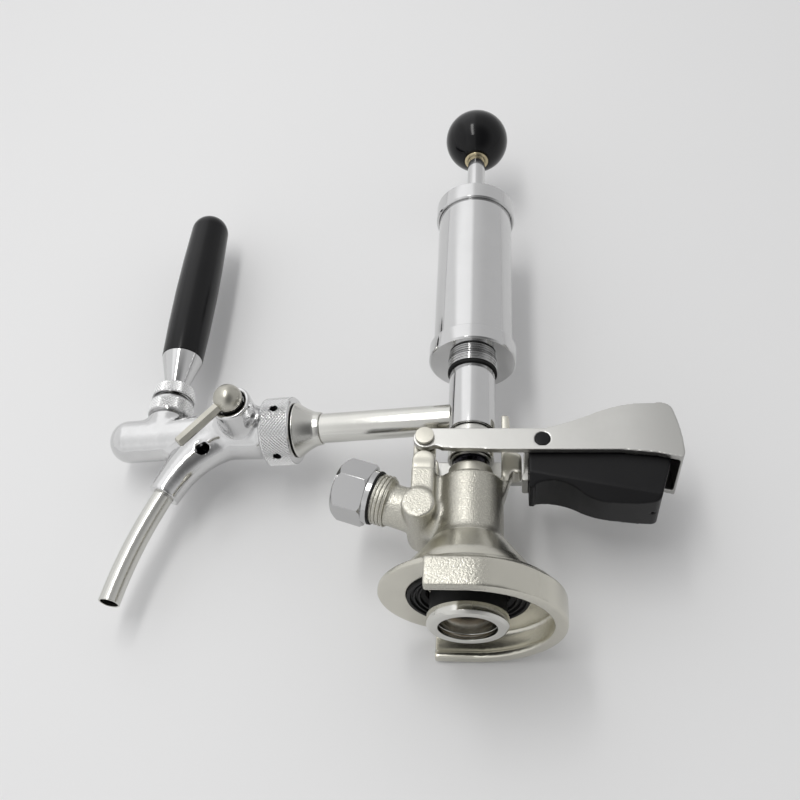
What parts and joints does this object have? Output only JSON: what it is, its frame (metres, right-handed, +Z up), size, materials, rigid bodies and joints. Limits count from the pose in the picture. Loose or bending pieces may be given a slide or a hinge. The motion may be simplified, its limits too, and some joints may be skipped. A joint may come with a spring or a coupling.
{
  "type": "keg party pump",
  "caption": "Sliding keg coupler with a lever and trigger, a hand pump with a ball knob on its column and a beer tap with a flow control lever on a side pipe.",
  "frame": {"origin": "on the axis of the coupler and pump, level with the bottom of the slider's hooked lip", "axes": "+Z up along the pump's axis, +X towards the lever's grip, -X towards the slider's open side, the gas port and the tap, -Y towards the flow control lever"},
  "size_m": [0.2747, 0.0826, 0.312],
  "materials": {
    "nickel_casting": "nickel plated casting, rough on the barrel",
    "chrome": "bright chrome plate",
    "stainless": "satin stainless steel",
    "grey_casting": "satin light grey casting",
    "zinc_plate": "grey plated steel",
    "black_moulding": "matte black moulding",
    "black_gloss": "glossy black moulding",
    "black_satin": "satin black moulding",
    "black_rubber": "black rubber",
    "plain_brass": "turned brass",
    "white_plastic": "white acetal"
  },
  "bodies": {
    "coupler": {"coupler_body": "nickel_casting", "guide_bush": "stainless", "probe_lip_seal": "black_rubber", "bottom_seal": "black_rubber", "lever_pin": "stainless", "gas_port_cap": "chrome", "gas_port_gasket": "black_rubber", "gas_check_valve": "black_rubber"},
    "lever": {"lever_handle": "grey_casting", "trigger_pin": "black_satin"},
    "trigger": {"trigger_grip": "black_moulding", "latch_pawl": "zinc_plate"},
    "fork": {"fork_ring": "stainless"},
    "head": {"probe_tube": "stainless", "probe_end_ring": "stainless", "probe_seal": "black_rubber", "beer_ball_seat": "black_rubber", "beer_tube": "stainless", "lower_snap_ring": "zinc_plate", "upper_snap_ring": "zinc_plate", "column": "chrome", "beer_manifold": "plain_brass", "column_o_ring": "black_rubber", "column_nut": "chrome", "pump_base_cap": "chrome", "pump_check_valve": "black_rubber", "pump_tube": "chrome", "pump_tube_seals": "black_rubber", "pump_top_cap": "chrome", "rod_bush": "white_plastic", "outlet_pipe": "stainless", "shank_adapter": "stainless", "coupling_nut": "chrome", "coupling_gasket": "black_rubber", "faucet_body": "chrome", "spout_tube": "stainless", "tap_bonnet": "chrome", "lever_seat_ring": "white_plastic", "flow_shaft_seal": "black_rubber"},
    "check_ball": {"beer_check_ball": "stainless"},
    "plunger": {"pump_rod": "chrome", "piston_head": "white_plastic", "piston_cup_seal": "black_rubber", "piston_nut": "zinc_plate", "ball_knob": "black_gloss", "knob_insert": "plain_brass"},
    "tap_lever": {"lever_stem": "stainless", "lever_cap": "chrome", "grip_ferrule": "chrome", "tap_grip": "black_satin"},
    "shuttle": {"tap_shuttle": "white_plastic", "shuttle_seal": "black_rubber", "shuttle_o_ring": "black_rubber"},
    "flow_lever": {"flow_spindle": "stainless", "flow_lever_ball": "chrome", "flow_lever_bar": "chrome"},
    "flow_plug": {"flow_cone": "white_plastic"}
  },
  "joints": [
    {"name": "lever_hinge", "type": "hinge", "parent": "coupler", "child": "lever", "pos_m": [-0.02, 0, 0.0823], "axis": [0, -1, 0], "range_deg": [0, 33]},
    {"name": "probe_slide", "type": "slide", "parent": "coupler", "child": "fork", "axis": [0, 0, 1], "range_m": [0, 0.0127]},
    {"name": "head_swivel", "type": "hinge", "parent": "fork", "child": "head", "pos_m": [0, 0, 0.086], "axis": [0, 0, 1], "range_deg": [-90, 90]},
    {"name": "trigger_hinge", "type": "hinge", "parent": "lever", "child": "trigger", "pos_m": [0.032, 0, 0.0814], "axis": [0, -1, 0], "range_deg": [0, 4.5], "stiffness_Nm_per_rad": 0.4, "springref_deg": -8.59},
    {"name": "check_ball_lift", "type": "slide", "parent": "head", "child": "check_ball", "axis": [0, 0, 1], "range_m": [0, 0.003]},
    {"name": "pump_stroke", "type": "slide", "parent": "head", "child": "plunger", "axis": [0, 0, 1], "range_m": [0, 0.065]},
    {"name": "tap_hinge", "type": "hinge", "parent": "head", "child": "tap_lever", "pos_m": [-0.15355, 0.01885, 0.118], "axis": [-0.1219, -0.9925, 0], "range_deg": [0, 26]},
    {"name": "shuttle_slide", "type": "slide", "parent": "head", "child": "shuttle", "axis": [0.9925, -0.1219, 0], "range_m": [0, 0.0068]},
    {"name": "flow_hinge", "type": "hinge", "parent": "head", "child": "flow_lever", "pos_m": [-0.11017, 0.01353, 0.1045], "axis": [0.1219, 0.9925, 0], "range_deg": [0, 100]},
    {"name": "flow_plug_slide", "type": "slide", "parent": "head", "child": "flow_plug", "axis": [-0.9925, 0.1219, 0], "range_m": [0, 0.00214]}
  ],
  "couplings": [
    {"joint": "probe_slide", "follows": "lever_hinge", "m_per_rad": 0.0218},
    {"joint": "shuttle_slide", "follows": "tap_hinge", "m_per_rad": 0.0147},
    {"joint": "flow_hinge", "follows": "flow_plug_slide", "rad_per_m": 813.67}
  ]
}
